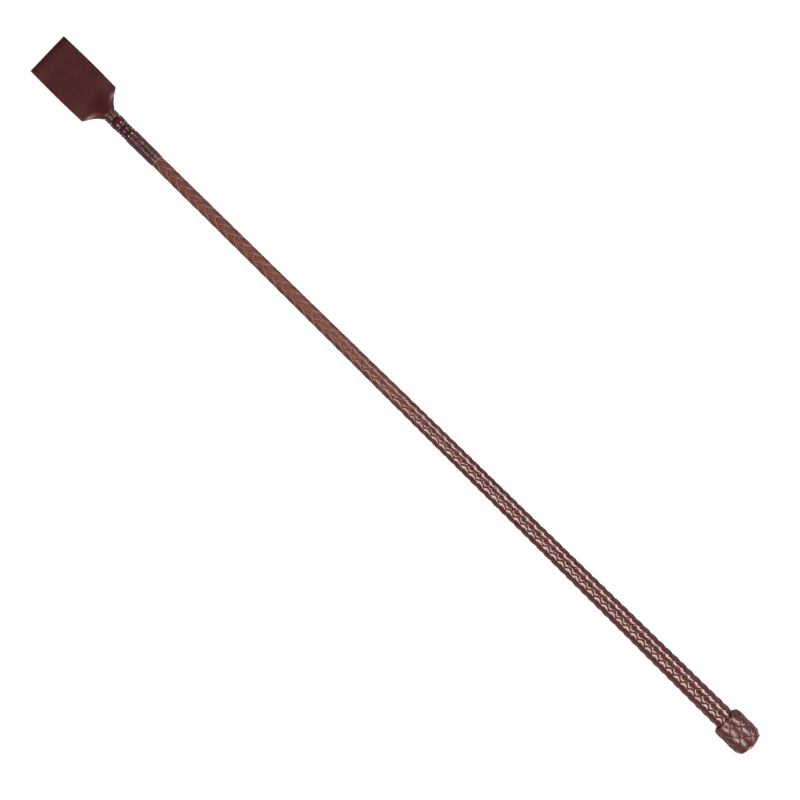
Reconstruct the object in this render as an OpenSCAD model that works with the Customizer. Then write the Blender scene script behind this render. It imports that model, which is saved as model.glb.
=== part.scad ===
// Riding crop. A tapered rod carries a plaited leather cover, a knob at the butt and a folded
// leather keeper at the tip. Origin: on the axis at the butt end. +X runs towards the keeper,
// Y is across the keeper and +Z comes out of its upper face. Millimetres and degrees.

/* [Overall] */
// Length from the butt dome to the keeper's fold
crop_length = 650; // [600:5:750]

/* [Rod] */
// Rod radius at the butt
rod_butt_r = 3.2; // [2.8:0.1:3.4]
// Rod radius at the tip
rod_tip_r = 1.7; // [1.4:0.1:1.8]

/* [Knob] */
// Outside diameter of the woven knob
knob_d = 21.6; // [20.6:0.1:23]
// Thickness of the knot's strap
knot_strap_t = 1.05; // [0.9:0.05:1.1]
// Axial distance between two rows of crossings in the knot
knot_row = 4.55; // [4:0.05:4.8]
// Diameter of the butt dome
dome_d = 14; // [12:0.5:14]
// Height of the butt dome
dome_rise = 2.6; // [1.5:0.1:3.5]

/* [Plait] */
// Thickness of a plait strand
strand_t = 0.8; // [0.6:0.05:0.8]
// Share of its lane in the plait that a strand fills
strand_fill = 0.8; // [0.7:0.01:0.82]
// Plait diameter where it leaves the knob
handle_d = 14.4; // [14.2:0.1:14.6]
// Plait diameter in the middle of the crop
middle_d = 11.2; // [10.8:0.1:12]
// Plait diameter at the whipping
shaft_d = 8.7; // [8.6:0.1:9.4]

/* [Keeper] */
// Width of the keeper flap
keeper_w = 31.4; // [24:0.2:40]
// Length from the neck binding to the fold
keeper_l = 58; // [50:1:75]
// Length of the curved shoulders
shoulder_l = 10; // [8:0.5:14]
// Thickness of one ply of the keeper's leather
ply_t = 1.7; // [1.2:0.1:1.7]

/* [Bindings] */
// Length of the long whipping
whipping_l = 23.8; // [20:0.2:28]
// Thickness of the thread layer
thread_t = 0.35; // [0.3:0.05:0.4]

/* [Hidden] */
$fn = 96;

// Clearances
fit_gap = 0.05;    // between pieces that are pressed together
lay_gap = 0.2;     // between the upper and the lower lay of a weave
belly_gap = 0.3;   // between the lower lay of the plait and what it lies on
knot_bed_gap = 0.65;   // between the lower lay of the knot and what it lies on
binding_t = 0.25;  // how far the butt binding stands above the plait
tube_bevel = 0.1;

// Stations along the axis
neck_x = crop_length - keeper_l;
whip_end = neck_x - 19.7;
whip_start = whip_end - whipping_l;
rod_start = 4;
rod_end = neck_x - 3;
buildup_end = 300;
former_end = 14.2;
plait_start = 15.7;
butt_binding_x = [17, 19.2];
foundation_x = [21.5, 23.2];
plait_end = whip_start + 11.5;
pare_start = whip_start - 8;
pare_end = whip_start - 1;

// Where the taper of the handle and the shaft changes slope
handle_x_full = 27;
handle_x_end = 97;
middle_x = 245;
shaft_x_start = 403;
shaft_x_full = whip_start - 60;

// The plait: two lays of six strands each, right-handed (hand 1) and left-handed (hand -1)
lay_strands = 6;
lane_deg = 180 / lay_strands;
lead_butt = 39;
lead_drop = 41.6;
lead_shaft = 35.6;
drop_turn = 6.75;
settle_turns = 1.6;
drop_end_step = 12 * (drop_turn + settle_turns / 2);
strand_dive = 0.08;   // share of a gap in which a strand leaves its lay
// Turn of the seam between the lays, in degrees, at the two ends of the crop
seam_butt = 2;
seam_tip = 10.5;

// The knot: five passes round the knob, six scallops at each end
knot_mid = 13.9;
knot_turn = 22;
knot_fill = 0.82;
knot_dive = 0.09;
knot_taper = 0.3;
knot_bed_r = knob_d / 2 - 2 * knot_strap_t - lay_gap - knot_bed_gap;
bend_r = 0.08;

// Keeper neck: a stack of bound swellings, [start, end, radius], counted back from neck_x
tail_start = plait_end + 1.5;
tail_tip_r = 3.8;
tail_ease = 2;
tail_over = 0.2;
split_gap = 0.2;
ring_r = 4.65;
swell_2_r = 4.6;
swell_1_r = 5;
groove_r = 4.1;
hinge_r = ply_t + 0.1;
hinge_x = neck_x + hinge_r + 0.3;
ply_gap = 0.2;
neck_w = 9.4;

leather_dark = "#5f302a";
leather_brown = "#6b3c34";
leather_keeper = "#4c2624";
thread_brown = "#462a32";

function mix(a, b, t) = a + (b - a) * t;
function clamp01(t) = max(0, min(1, t));
function smooth(t) = let (c = clamp01(t)) c * c * (3 - 2 * c);
function wrap(n, m) = ((n % m) + m) % m;

// ---- Plait lattice ----
// A point of the plait has a right-hand lane number u and a left-hand lane number v. Lanes are
// counted in handle strands, so v - u grows along the crop and u + v grows round it.

function plait_r(x) = lookup(x, [
    [handle_x_full, handle_d / 2],
    [handle_x_end, mix(handle_d, middle_d, 0.4) / 2],
    [middle_x, middle_d / 2],
    [shaft_x_start, mix(middle_d, shaft_d, 0.7) / 2],
    [shaft_x_full, shaft_d / 2],
    [pare_start, shaft_d / 2],
    [pare_end, shaft_d / 2 - thread_t]
]);

// Strands are pared thin where the whipping covers them
function strand_t_at(x) = lookup(x, [[pare_start, strand_t], [pare_end, 0.6 * strand_t]]);

// Axial place after a number of turns: the lead grows along the handle, then drops to the shaft's
function handle_x(t) = plait_start + lead_butt * t + (lead_drop - lead_butt) * t * t / (2 * drop_turn);
function settle_x(t) = lead_drop * t + (lead_shaft - lead_drop) * t * t / (2 * settle_turns);
shaft_turn = drop_turn + settle_turns;
shaft_x = handle_x(drop_turn) + settle_x(settle_turns);
function lay_x(t) =
    t < drop_turn ? handle_x(t)
    : t < shaft_turn ? handle_x(drop_turn) + settle_x(t - drop_turn)
    : shaft_x + lead_shaft * (t - shaft_turn);

turns_total = shaft_turn + (plait_end - shaft_x) / lead_shaft;
steps_total = floor(12 * turns_total);

// How far the plait has settled from twelve strands (0) to eight (1), at a crossing number
function settled(step) = smooth((step / 12 - drop_turn) / settle_turns);

// Every third strand of each lay is dropped, and its neighbours close up
function lay_shift(hand) = hand > 0 ? 0 : 2;
function dropped(k, hand) = wrap(k + lay_shift(hand), 3) == 2;
function first_edge(hand) = hand > 0 ? -1.125 : -0.125;
function shaft_edge(k, hand) = first_edge(hand) + 1.5 * (k - floor((k + lay_shift(hand)) / 3));
function edge(k, hand, s) = mix(k - 0.5, shaft_edge(k, hand), s);
function mid(k, hand, s) = (edge(k, hand, s) + edge(k + 1, hand, s)) / 2;
function half_w(k, hand, s) = strand_fill / 2 * (edge(k + 1, hand, s) - edge(k, hand, s));

// The right-hand lay is on top in two of the four quarters, the left-hand lay in the others
function on_top(own, other, hand) = (wrap(own + other, 6) < 3) == (hand > 0);
function present(k, hand, step) = !(dropped(k, hand) && step > drop_end_step);

// A strand's crossings, as step numbers, skipping strands that have been dropped
function crossings(own, hand) =
    let (last = dropped(own, hand) ? drop_end_step : steps_total)
    [for (n = [0 : last]) if (present(own + hand * n, -hand, n)) n];

// A station is [step, place along the strand in the other lay's lanes, lay (0 upper, 1 lower)]
function lay_of(own, hand, n) = on_top(own, own + hand * n, hand) ? 0 : 1;
function gap_stations(own, hand, n, m) =
    let (
        step = (n + m) / 2,
        s = settled(step),
        from = mid(own + hand * n, -hand, s) + hand * half_w(own + hand * n, -hand, s),
        to = mid(own + hand * m, -hand, s) - hand * half_w(own + hand * m, -hand, s),
        lay_n = lay_of(own, hand, n),
        lay_m = lay_of(own, hand, m)
    )
    lay_n == lay_m
        ? [[step, (from + to) / 2, lay_n]]
        : [[step, mix(from, to, strand_dive), lay_n], [step, mix(to, from, strand_dive), lay_m]];
function end_station(own, hand, n) =
    [n, mid(own + hand * n, -hand, settled(n)), lay_of(own, hand, n)];
function stations(own, hand) =
    let (c = crossings(own, hand))
    [
        end_station(own, hand, c[0]),
        for (k = [0 : len(c) - 2]) each gap_stations(own, hand, c[k], c[k + 1]),
        end_station(own, hand, c[len(c) - 1])
    ];

function plait_point(u, v, lay, bottom) =
    let (
        x = lay_x((v - u) / 12),
        a = lane_deg * (u + v) + mix(seam_butt, seam_tip, x / crop_length),
        t = strand_t_at(x),
        r = plait_r(x) - lay * (t + lay_gap) - bottom * t
    )
    [x, r * cos(a), r * sin(a)];

// The four corners of a strand's section at one station
function section(own, hand, station) =
    let (
        s = settled(station[0]),
        c = mid(own, hand, s),
        w = hand * half_w(own, hand, s),
        q = station[1],
        lay = station[2]
    )
    hand > 0
        ? [for (p = [[c - w, 1], [c + w, 1], [c + w, 0], [c - w, 0]]) plait_point(p[0], q, lay, p[1])]
        : [for (p = [[c - w, 1], [c + w, 1], [c + w, 0], [c - w, 0]]) plait_point(q, p[0], lay, p[1])];

// Skin of a four-cornered tube through n sections, split along the diagonal that follows the axis
function flip_if(face, flip) = flip ? [face[2], face[1], face[0]] : face;
function skin_quad(a, b, c, d) = [[a, b, d], [b, c, d]];
function skin_step(k, m) =
    [
        for (q = [0 : 3])
            let (p = (q + 1) % 4)
            each (q == 2
                ? skin_quad(4 * k + p, 4 * m + p, 4 * m + q, 4 * k + q)
                : skin_quad(4 * k + q, 4 * k + p, 4 * m + p, 4 * m + q))
    ];

module tube_skin(points, closed, flip) {
    n = len(points) / 4;
    walls = [
        for (k = [0 : n - (closed ? 1 : 2)])
            for (f = skin_step(k, (k + 1) % n)) flip_if(f, flip)
    ];
    e = 4 * (n - 1);
    caps = closed ? [] : [
        flip_if([0, 2, 1], flip), flip_if([0, 3, 2], flip),
        flip_if([e, e + 1, e + 2], flip), flip_if([e, e + 2, e + 3], flip)
    ];
    polyhedron(points, concat(walls, caps), convexity = 10);
}

module plait_strand(number) {
    hand = number <= lay_strands ? 1 : -1;
    own = (number - 1) % lay_strands;
    color(leather_brown)
        tube_skin(
            [for (st = stations(own, hand)) each section(own, hand, st)],
            closed = false,
            flip = hand < 0
        );
}

// ---- Knot: one closed strap, on its own lattice of lanes u and v ----
function knot_r(x) = knob_d / 2 - knot_taper * pow(clamp01((knot_mid - x) / (knot_mid - 1)), 3);
function knot_point(u, v, depth) =
    let (
        x = knot_mid + knot_row * (v - u - 1.5),
        a = 30 * (u + v) + knot_turn,
        r = knot_r(x) - depth
    )
    [x, r * cos(a), r * sin(a)];
function knot_section(low, high, lay) =
    let (top = lay * (knot_strap_t + lay_gap), base = top + knot_strap_t)
    [
        knot_point(low[0], low[1], base), knot_point(high[0], high[1], base),
        knot_point(high[0], high[1], top), knot_point(low[0], low[1], top)
    ];

// A pass across the knob, right-handed from row 0 to row 3, then left-handed back to row 0
knot_half = knot_fill / 2;
knot_run = 0.5 - knot_dive;
function right_pass(i) = [
    for (k = [0 : 3]) for (d = [-knot_run, knot_run])
        knot_section([i - knot_half, i + k + d], [i + knot_half, i + k + d], (k + 1) % 2)
];
function left_pass(i) = [
    for (m = [1 : 4]) for (d = [-knot_run, knot_run])
        knot_section([i + m + d, i + 4 + knot_half], [i + m + d, i + 4 - knot_half], m % 2)
];

// Turns at the two ends of the knob, as arcs round the inner corner of the strap
bend_out = 2 * knot_half + bend_r;
bend_c = knot_half + bend_r;
bend_steps = [0 : 30 : 90];
function tip_bend(i) = [
    for (f = bend_steps)
        knot_section(
            [i + bend_c - bend_out * cos(f), i + 4 - bend_c + bend_out * sin(f)],
            [i + bend_c - bend_r * cos(f), i + 4 - bend_c + bend_r * sin(f)],
            f / 90
        )
];
function butt_bend(j) = [
    for (f = bend_steps)
        knot_section(
            [j + 1 - bend_c + bend_r * sin(f), j + bend_c - bend_r * cos(f)],
            [j + 1 - bend_c + bend_out * sin(f), j + bend_c - bend_out * cos(f)],
            f / 90
        )
];

module turks_head_knot() {
    sections = [
        for (n = [0 : 5]) let (i = 5 * n)
            each concat(right_pass(i), tip_bend(i), left_pass(i), butt_bend(i + 4))
    ];
    color(leather_dark)
        tube_skin([for (s = sections) each s], closed = true, flip = false);
}

// ---- Turned pieces ----
// Revolves a profile of [x, r] points about the crop's axis
module turned(profile) {
    rotate([0, 90, 0])
        rotate_extrude()
            polygon([for (p = profile) [p[1], p[0]]]);
}

function rod_r(x) = mix(rod_butt_r, rod_tip_r, (x - rod_start) / (rod_end - rod_start));
shank_r = 1.25;
shank_l = 14;
bore_l = shank_l + 0.5;
weld = 1;

module core_rod() {
    color("#c9c2a6")
        difference() {
            turned([
                [rod_start, 0], [rod_start, rod_r(rod_start)],
                [rod_end, rod_r(rod_end)], [rod_end, 0]
            ]);
            translate([rod_start - weld, 0, 0])
                rotate([0, 90, 0])
                    cylinder(r = shank_r + fit_gap, h = bore_l + weld);
        }
}

function belly_r(x) = plait_r(x) - 2 * strand_t_at(x) - lay_gap - belly_gap;

module handle_buildup() {
    stops = [former_end + fit_gap, handle_x_full, handle_x_end, middle_x, buildup_end];
    color("#8a6f55")
        turned(concat(
            [for (x = stops) [x, belly_r(x)]],
            [for (k = [len(stops) - 1 : -1 : 0]) [stops[k], rod_r(stops[k]) + fit_gap]]
        ));
}

module shaft_underlay() {
    stops = [
        buildup_end + fit_gap, shaft_x_start, shaft_x_full, pare_start, pare_end, plait_end + 1
    ];
    color("#9a7c5f")
        turned(concat(
            [for (x = stops) [x, belly_r(x)]],
            [for (k = [len(stops) - 1 : -1 : 0]) [stops[k], rod_r(stops[k]) + fit_gap]]
        ));
}

module butt_cap() {
    ball_r = (dome_d * dome_d / 4 + dome_rise * dome_rise) / (2 * dome_rise);
    rim_end = rod_start - fit_gap;
    color("#c8c0be")
        union() {
            intersection() {
                translate([ball_r, 0, 0])
                    rotate([0, 90, 0])
                        sphere(r = ball_r);
                rotate([0, 90, 0])
                    cylinder(d = dome_d, h = rim_end);
            }
            translate([rim_end - weld, 0, 0])
                rotate([0, 90, 0])
                    cylinder(r = shank_r, h = shank_l + weld);
        }
}

module knob_former() {
    start = rod_start + fit_gap;
    edge_r = 6.9;
    body_r = knot_bed_r - knot_taper;
    rounding = 2;
    color("#b08a5c")
        turned([
            [start, rod_r(start) + fit_gap], [start, edge_r],
            [start + rounding, body_r], [former_end, body_r],
            [former_end, rod_r(former_end) + fit_gap]
        ]);
}

module tube(x, inner, outer) {
    turned([
        [x[0], inner], [x[0], outer - tube_bevel], [x[0] + tube_bevel, outer],
        [x[1] - tube_bevel, outer], [x[1], outer - tube_bevel], [x[1], inner]
    ]);
}

module knot_foundation() {
    color(leather_brown)
        tube(foundation_x, handle_d / 2 + fit_gap, knot_bed_r);
}

module butt_binding() {
    color(thread_brown)
        tube(butt_binding_x, handle_d / 2 + fit_gap, handle_d / 2 + binding_t);
}

// ---- Bindings at the tip ----
whip_rise = 0.4;
band_r = 4.75;

module thread_ring(x) {
    color(thread_brown)
        tube(x, groove_r + fit_gap, band_r);
}

module long_whipping() {
    start_r = shaft_d / 2;
    end_r = start_r + whip_rise;
    round_l = 1;
    round_r = 0.1;
    color(thread_brown)
        turned([
            [whip_start, start_r - thread_t + fit_gap],
            [whip_start, start_r - round_r],
            [whip_start + round_l, start_r + round_r],
            [whip_end - round_l, end_r],
            [whip_end, end_r - round_r],
            [whip_end, end_r - thread_t],
            [plait_end + 1, end_r - thread_t],
            [plait_end, start_r - thread_t + fit_gap]
        ]);
}

band_3 = [neck_x - 16.3, neck_x - 15];
band_2 = [neck_x - 11.7, neck_x - 10];
band_neck = [neck_x - 4.1, neck_x];

// ---- Keeper: one strip of leather, folded at the tip, its two tails bound round the rod ----
// A swelling between two bindings, as profile points
function swelling(x0, x1, r) =
    let (n = 6, dip = r - groove_r)
    [for (k = [0 : n]) [mix(x0, x1, k / n), groove_r + dip * sqrt(sin(mix(25, 155, k / n)))]];

bound_r = shaft_d / 2 + whip_rise - thread_t - fit_gap;
function tail_profile() = concat(
    [
        [tail_start, rod_r(tail_start) + fit_gap], [tail_start, tail_tip_r],
        [tail_start + tail_ease, bound_r], [whip_end, bound_r]
    ],
    swelling(whip_end + 2 * fit_gap, band_3[0] - fit_gap, ring_r),
    [[band_3[0] - fit_gap, groove_r], [band_3[1] + fit_gap, groove_r]],
    swelling(band_3[1] + fit_gap, band_2[0] - fit_gap, swell_2_r),
    [[band_2[0] - fit_gap, groove_r], [band_2[1] + fit_gap, groove_r]],
    swelling(band_2[1] + fit_gap, band_neck[0] - fit_gap, swell_1_r),
    [[band_neck[0] - fit_gap, groove_r], [neck_x + tail_over, groove_r]],
    [[neck_x + tail_over, rod_r(tail_start) + fit_gap]]
);

module keeper_tail(side) {
    half = 2 * swell_1_r;
    color(leather_keeper)
        intersection() {
            turned(tail_profile());
            translate([tail_start, -half, side > 0 ? split_gap / 2 : -half - split_gap / 2])
                cube([neck_x + tail_over - tail_start, 2 * half, half]);
        }
}

// Half outline of the flap: slightly hollow shoulder, pointed corner, slightly bowed side
shoulder_hollow = 1.6;
side_bow = 0.4;
function shoulder(n) = [
    for (k = [0 : n]) let (t = k / n)
        [neck_x + shoulder_l * t, mix(neck_w, keeper_w, t) / 2 - shoulder_hollow * sin(180 * t)]
];
function bowed_side(n) =
    let (x0 = neck_x + shoulder_l, run = keeper_l - shoulder_l)
    [for (k = [1 : n]) [x0 + run * k / n, keeper_w / 2 + side_bow * sin(180 * k / n)]];
half_outline = concat(shoulder(16), bowed_side(8));

module flap_outline() {
    difference() {
        polygon(concat(
            half_outline,
            [for (k = [len(half_outline) - 1 : -1 : 0]) [half_outline[k][0], -half_outline[k][1]]]
        ));
        translate([neck_x, -keeper_w])
            square([hinge_x - neck_x, 2 * keeper_w]);
    }
}

module across(x, r, width) {
    translate([x, -width / 2, 0])
        rotate([-90, 0, 0])
            cylinder(r = r, h = width);
}

module keeper_flap() {
    fold_x = crop_length - hinge_r;
    slot_x = neck_x + 6;
    color(leather_keeper)
        difference() {
            union() {
                intersection() {
                    translate([0, 0, -hinge_r])
                        linear_extrude(2 * hinge_r)
                            flap_outline();
                    union() {
                        translate([hinge_x, -keeper_w, -hinge_r])
                            cube([fold_x - hinge_x, 2 * keeper_w, 2 * hinge_r]);
                        across(fold_x, hinge_r, 2 * keeper_w);
                    }
                }
                across(hinge_x, hinge_r, neck_w);
            }
            translate([slot_x, -keeper_w, -ply_gap / 2])
                cube([fold_x - slot_x, 2 * keeper_w, ply_gap]);
        }
}

core_rod();
handle_buildup();
shaft_underlay();
butt_cap();
knob_former();
knot_foundation();
butt_binding();
turks_head_knot();
plait_strand(1);  // plait_strand_01
plait_strand(2);  // plait_strand_02
plait_strand(3);  // plait_strand_03
plait_strand(4);  // plait_strand_04
plait_strand(5);  // plait_strand_05
plait_strand(6);  // plait_strand_06
plait_strand(7);  // plait_strand_07
plait_strand(8);  // plait_strand_08
plait_strand(9);  // plait_strand_09
plait_strand(10);  // plait_strand_10
plait_strand(11);  // plait_strand_11
plait_strand(12);  // plait_strand_12
long_whipping();
thread_ring(band_3);  // thread_band_3
thread_ring(band_2);  // thread_band_2
thread_ring(band_neck);  // thread_band_neck
keeper_tail(1);  // keeper_tail_upper
keeper_tail(-1);  // keeper_tail_lower
keeper_flap();
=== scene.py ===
"""A riding crop: plaited leather over a rod, a woven knob, thread whippings and a folded keeper.

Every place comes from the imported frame. Lengths below are in millimetres until a mesh is made.
"""

import math

import bpy
import numpy as np
from mathutils import Matrix, Vector


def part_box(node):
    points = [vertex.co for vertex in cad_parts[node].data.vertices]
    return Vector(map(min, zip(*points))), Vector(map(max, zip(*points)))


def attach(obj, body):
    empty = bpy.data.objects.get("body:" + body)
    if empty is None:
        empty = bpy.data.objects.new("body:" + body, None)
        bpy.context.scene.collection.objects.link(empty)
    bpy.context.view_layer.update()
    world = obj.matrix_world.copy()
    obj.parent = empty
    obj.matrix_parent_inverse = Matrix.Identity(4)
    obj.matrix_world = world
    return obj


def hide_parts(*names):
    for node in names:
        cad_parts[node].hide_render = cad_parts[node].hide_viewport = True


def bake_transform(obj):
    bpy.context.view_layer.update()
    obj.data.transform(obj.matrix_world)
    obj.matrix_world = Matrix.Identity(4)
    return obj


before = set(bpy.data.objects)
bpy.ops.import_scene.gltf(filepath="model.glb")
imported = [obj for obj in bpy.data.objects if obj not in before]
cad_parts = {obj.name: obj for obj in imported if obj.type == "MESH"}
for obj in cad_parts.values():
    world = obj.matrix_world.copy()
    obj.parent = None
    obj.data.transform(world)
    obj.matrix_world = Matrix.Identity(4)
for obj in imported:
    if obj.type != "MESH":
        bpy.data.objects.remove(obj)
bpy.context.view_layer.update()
scene = bpy.context.scene

MM = 0.001
CROP, KEEPER = "crop", "keeper"


# ---------------------------------------------------------------- small numeric helpers
def mix(a, b, t):
    return a + (b - a) * t


def smooth(t):
    t = np.clip(t, 0.0, 1.0)
    return t * t * (3 - 2 * t)


def ramp(x, x0, x1):
    return smooth((x - x0) / (x1 - x0))


def waves(x, seed, period, count=5):
    """Smooth noise of about unit height along x: a few sines with seeded phases."""
    rng = np.random.default_rng(seed)
    total = np.zeros_like(x, float)
    for _ in range(count):
        f = 2 * np.pi / (period * rng.uniform(0.55, 1.8))
        total += np.sin(f * x + rng.uniform(0, 2 * np.pi)) * rng.uniform(0.4, 1.0)
    return total / math.sqrt(count)


def angle_bump(degrees, at, wide):
    """A round bump of unit height at one angle about the axis."""
    off = np.mod(degrees - at + 180, 360) - 180
    return np.exp(-off ** 2 / wide ** 2)


# ---------------------------------------------------------------- places, from the frame
def span(node, axis=0):
    """The lowest and highest coordinate of a CAD node along an axis, in mm."""
    low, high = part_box(node)
    return low[axis] / MM, high[axis] / MM


def node_points(*nodes):
    """All vertices of some CAD nodes, in mm."""
    return np.concatenate([
        np.array([v.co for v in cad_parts[n].data.vertices], float) for n in nodes
    ]) / MM


KNOT = span("turks_head_knot")
WHIP = span("long_whipping")
BAND_3 = span("thread_band_3")
BAND_2 = span("thread_band_2")
BAND_NECK = span("thread_band_neck")
NECK = BAND_NECK[1]
TIP = span("keeper_flap")[1]
STRAND_COUNT = 12
STRANDS = [f"plait_strand_{n:02d}" for n in range(1, STRAND_COUNT + 1)]


def radius_profile(nodes, x0, x1, step):
    """The outer radius of some nodes along the axis, as two arrays for np.interp."""
    co = node_points(*nodes)
    r = np.hypot(co[:, 1], co[:, 2])
    xs = np.arange(x0, x1, step)
    rs = [r[np.abs(co[:, 0] - x) < step].max() for x in xs]
    even = np.convolve(np.pad(rs, 2, mode="edge"), np.ones(5) / 5, "valid")
    return xs, even


PROFILE_START, PROFILE_STEP = 18.0, 12.0
SHAFT_END = WHIP[0] - 9.0
FULL_STRANDS = [n for n in STRANDS if span(n)[1] > WHIP[0]]
PLAIT_X, PLAIT_R = radius_profile(FULL_STRANDS, PROFILE_START, SHAFT_END, PROFILE_STEP)
PARE_X = (WHIP[0] - 5.0, WHIP[0] + 0.5)    # the plait is pared thin before the whipping
PARE_DEPTH = 0.38


def plait_r(x):
    """Radius of the plait's outer surface."""
    return np.interp(x, PLAIT_X, PLAIT_R) - PARE_DEPTH * ramp(x, *PARE_X)


# ---------------------------------------------------------------- mesh making
def make_mesh(name, points, faces, floats=None, vectors=None):
    """A smooth mesh object from points in mm, with named attributes per point."""
    mesh = bpy.data.meshes.new(name)
    mesh.from_pydata((np.asarray(points) * MM).tolist(), [], faces)
    for key, values in (floats or {}).items():
        layer = mesh.attributes.new(key, "FLOAT", "POINT")
        layer.data.foreach_set("value", np.ravel(values))
    for key, values in (vectors or {}).items():
        layer = mesh.attributes.new(key, "FLOAT_VECTOR", "POINT")
        layer.data.foreach_set("vector", np.ravel(values))
    mesh.polygons.foreach_set("use_smooth", [True] * len(mesh.polygons))
    mesh.update()
    mesh.validate()
    piece = bpy.data.objects.new(name, mesh)
    scene.collection.objects.link(piece)
    return piece


def grid_faces(rows, cols, closed, flip):
    """Quads between rings of points; a closed grid also joins its last ring to its first."""
    faces = []
    for i in range(rows if closed else rows - 1):
        a, b = i * cols, (i + 1) % rows * cols
        for j in range(cols):
            k = (j + 1) % cols
            quad = (a + j, a + k, b + k, b + j)
            faces.append(quad[::-1] if flip else quad)
    return faces


def tube(name, rings, floats=None, vectors=None, closed=False, flip=False):
    """A skin through rings of points, an array [ring, point, xyz]; open ends are capped."""
    rows, cols = rings.shape[:2]
    faces = grid_faces(rows, cols, closed, flip)
    if not closed:
        first = list(range(cols))
        last = list(range((rows - 1) * cols, rows * cols))
        faces += [first, last[::-1]] if flip else [first[::-1], last]
    return make_mesh(name, rings.reshape(-1, 3), faces, floats, vectors)


def about_axis(x, r, a):
    """Points at place x, radius r and angle a, in radians."""
    return np.stack([x, r * np.cos(a), r * np.sin(a)], axis=-1)


def lathe(name, profile, points):
    """A closed profile of [x, r] turned about the crop's axis."""
    profile = np.asarray(profile, float)
    a = np.linspace(0, 2 * np.pi, points, endpoint=False)
    x = np.repeat(profile[:, :1], points, axis=1)
    r = np.repeat(profile[:, 1:], points, axis=1)
    return tube(name, about_axis(x, r, a))


def close_corners(piece, degrees):
    """Sharp edges stay sharp where faces meet at more than this angle."""
    piece.data.set_sharp_from_angle(angle=math.radians(degrees))


# ---------------------------------------------------------------- the plait's lattice
# Two lays of six lanes. u numbers the right-handed lanes and v the left-handed ones, so that
# v - u grows along the crop and u + v round it. The leads are the CAD plait's own.
LANES = STRAND_COUNT // 2
LANE_DEGREES = 360 / STRAND_COUNT
PLAIT_START = 15.7
LEAD_BUTT, LEAD_DROP, LEAD_SHAFT = 39.0, 41.6, 35.6
DROP_TURN, SETTLE_TURNS = 6.75, 1.6
SHAFT_TURN = DROP_TURN + SETTLE_TURNS
SEAM_BUTT, SEAM_TIP = 2.0, 10.5
# On the shaft every third lane is dropped and the others are half as wide again
DROP_EVERY = 3
SHAFT_LANE = 1.5
LANE_SHIFT = {1: 0, -1: 2}
FIRST_EDGE = {1: -1.125, -1: -0.125}


def lay_x(turns):
    """Axial place after a number of turns round the crop."""
    t = np.minimum(turns, DROP_TURN)
    x = PLAIT_START + LEAD_BUTT * t + (LEAD_DROP - LEAD_BUTT) * t * t / (2 * DROP_TURN)
    t = np.clip(turns - DROP_TURN, 0, SETTLE_TURNS)
    x = x + LEAD_DROP * t + (LEAD_SHAFT - LEAD_DROP) * t * t / (2 * SETTLE_TURNS)
    return x + LEAD_SHAFT * np.maximum(turns - SHAFT_TURN, 0)


def settled(step):
    """How far the plait has settled from 12 strands to 8, at a step of so many lanes."""
    return smooth((step / STRAND_COUNT - DROP_TURN) / SETTLE_TURNS)


def edge(k, hand, s):
    """Lower edge of lane k, a whole number, when the plait has settled by s."""
    dropped = np.floor((k + LANE_SHIFT[hand]) / DROP_EVERY)
    return mix(k - 0.5, FIRST_EDGE[hand] + SHAFT_LANE * (k - dropped), s)


def lane_place(lane, hand, s):
    """Place of a fractional lane number, in handle strands."""
    k = np.floor(lane + 0.5)
    return mix(edge(k, hand, s), edge(k + 1, hand, s), lane + 0.5 - k)


def is_dropped(own, hand):
    return (own + LANE_SHIFT[hand]) % DROP_EVERY == DROP_EVERY - 1


def lattice_point(lane_u, lane_v, depth):
    """The point on the plait at two lane numbers, at a depth below its surface."""
    s = settled(lane_v - lane_u)
    u = lane_place(lane_u, 1, s)
    v = lane_place(lane_v, -1, s)
    x = lay_x((v - u) / STRAND_COUNT)
    a = np.radians(LANE_DEGREES * (u + v) + mix(SEAM_BUTT, SEAM_TIP, x / TIP))
    return about_axis(x, plait_r(x) - depth, a)


def float_place(own, hand, n, s):
    """(distance to the nearest change of lay in lanes, is the strand on top) at step n."""
    other = own + hand * n
    low = 3 * np.floor((other + 0.5 + own) / 3) - own
    here = lane_place(other, -hand, s)
    d = np.minimum(here - edge(low, -hand, s), edge(low + 3, -hand, s) - here)
    right_on_top = np.mod(own + low, 6) == 0
    return d, right_on_top == (hand > 0)


# ---------------------------------------------------------------- plait strands
STRAND_T = 0.8
LAY_STEP = 0.78           # how far a strand dives under its neighbours
DIVE = 0.13               # half the length of the dive, in lanes
TUCK = 0.05               # how far the middle of the dive is hidden under the neighbour
BELLY, BELLY_RUN = 0.05, 1.2    # how far a strand bulges on top, and over how many lanes
STRAND_FILL = 0.975
SAMPLES_PER_LANE = 8
SHORTEST_STEP = 0.18
DROPPED_SHARE = 0.8       # a dropped strand ends after this share of the settling
UNDER_WHIP = 6.0          # how far the other strands run on under the whipping
DRY_X = (240, 400)        # where the leather turns dry and its edges sharper
DULL_X = (250, 430)       # where the lacquer fades
# Across a strand: place (half widths) and how far the surface falls there, in mm
STRAND_TOP = [(-1, 0.34), (-0.975, 0.16), (-0.91, 0.06), (-0.76, 0.02), (-0.4, 0.0), (0, 0.0),
              (0.4, 0.0), (0.76, 0.02), (0.91, 0.06), (0.975, 0.16), (1, 0.34)]
STRAND_UNDER = [(0.93, STRAND_T), (-0.93, STRAND_T)]
STRAND_SECTION = np.array(STRAND_TOP + STRAND_UNDER)
CUT_FROM, CUT_RUN = 0.89, 0.05    # where the cut edge's colour starts, in half widths
FLAT_WIDTH = 5.2          # the leather's own place across a strand and from strand to strand
FLAT_GAP = 7.3
STRAND_GAP = 1000.0       # and along it, so that no two strands get the same grain


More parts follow.
